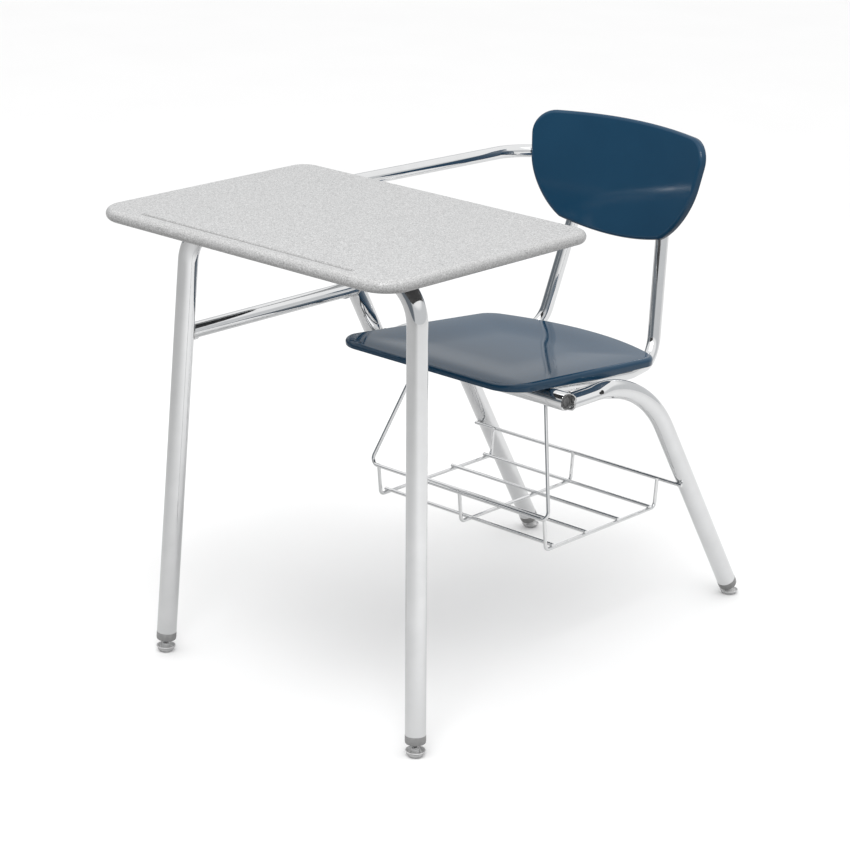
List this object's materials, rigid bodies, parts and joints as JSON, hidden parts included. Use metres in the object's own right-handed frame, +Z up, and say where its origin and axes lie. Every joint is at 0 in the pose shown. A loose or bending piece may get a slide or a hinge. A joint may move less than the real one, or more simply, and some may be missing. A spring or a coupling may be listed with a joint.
{
  "type": "student desk chair",
  "caption": "School combination desk: rounded hard plastic desktop, moulded plastic seat and backrest and a wire book basket on one bent steel tube frame.",
  "frame": {"origin": "on the floor, under the middle of the bounding box", "axes": "+Z up; -Y the way the sitter faces, towards the desktop; +X the sitter's left"},
  "size_m": [0.61, 0.9993, 0.8097],
  "materials": {
    "chrome_tube": "bright chrome plate",
    "navy_plastic": "glossy moulded, navy",
    "desktop_plastic": "fine speckled light grey, low sheen",
    "grey_plastic": "satin",
    "black_plastic": "satin",
    "zinc_steel": "plated"
  },
  "bodies": {
    "frame_and_shells": {"arm_tube": "chrome_tube", "back_screw_left_1": "zinc_steel", "back_screw_left_2": "zinc_steel", "back_screw_right_1": "zinc_steel", "back_screw_right_2": "zinc_steel", "backrest_shell": "navy_plastic", "ball_stud_front_left": "zinc_steel", "ball_stud_front_right": "zinc_steel", "ball_stud_rear_left": "zinc_steel", "ball_stud_rear_right": "zinc_steel", "basket_hanger": "chrome_tube", "basket_rear_rail": "chrome_tube", "basket_rib_left": "chrome_tube", "basket_rib_middle": "chrome_tube", "basket_rib_right": "chrome_tube", "basket_rod_1": "chrome_tube", "basket_rod_2": "chrome_tube", "basket_rod_3": "chrome_tube", "basket_rod_4": "chrome_tube", "collar_front_left": "grey_plastic", "collar_front_right": "grey_plastic", "collar_rear_left": "grey_plastic", "collar_rear_right": "grey_plastic", "crossbar_plug_left": "black_plastic", "crossbar_plug_right": "black_plastic", "desk_screw_1": "zinc_steel", "desk_screw_2": "zinc_steel", "desk_screw_3": "zinc_steel", "desk_screw_4": "zinc_steel", "desk_screw_5": "zinc_steel", "desk_screw_6": "zinc_steel", "desktop": "desktop_plastic", "front_leg_frame": "chrome_tube", "left_back_frame": "chrome_tube", "left_rear_leg": "chrome_tube", "left_upright_plug": "black_plastic", "right_back_frame": "chrome_tube", "right_rear_leg": "chrome_tube", "right_upright_plug": "black_plastic", "seat_crossbar": "chrome_tube", "seat_screw_left_1": "zinc_steel", "seat_screw_left_2": "zinc_steel", "seat_screw_right_1": "zinc_steel", "seat_screw_right_2": "zinc_steel", "seat_shell": "navy_plastic", "side_brace": "chrome_tube", "side_support_tube": "chrome_tube", "support_plug_front": "black_plastic", "support_plug_rear": "black_plastic"},
    "glide_front_left_body": {"glide_front_left": "zinc_steel"},
    "glide_front_right_body": {"glide_front_right": "zinc_steel"},
    "glide_rear_left_body": {"glide_rear_left": "zinc_steel"},
    "glide_rear_right_body": {"glide_rear_right": "zinc_steel"}
  },
  "joints": [
    {"name": "glide_front_left_tilt", "type": "hinge", "parent": "frame_and_shells", "child": "glide_front_left_body", "pos_m": [0.27547, -0.38225, 0.0115], "axis": [1, 0, 0], "range_deg": [-10, 10]},
    {"name": "glide_front_right_tilt", "type": "hinge", "parent": "frame_and_shells", "child": "glide_front_right_body", "pos_m": [-0.27547, -0.38225, 0.0115], "axis": [1, 0, 0], "range_deg": [-10, 10]},
    {"name": "glide_rear_left_tilt", "type": "hinge", "parent": "frame_and_shells", "child": "glide_rear_left_body", "pos_m": [0.22606, 0.48377, 0.0115], "axis": [1, 0, 0], "range_deg": [-8, 8]},
    {"name": "glide_rear_right_tilt", "type": "hinge", "parent": "frame_and_shells", "child": "glide_rear_right_body", "pos_m": [-0.22606, 0.48377, 0.0115], "axis": [1, 0, 0], "range_deg": [-8, 8]}
  ]
}
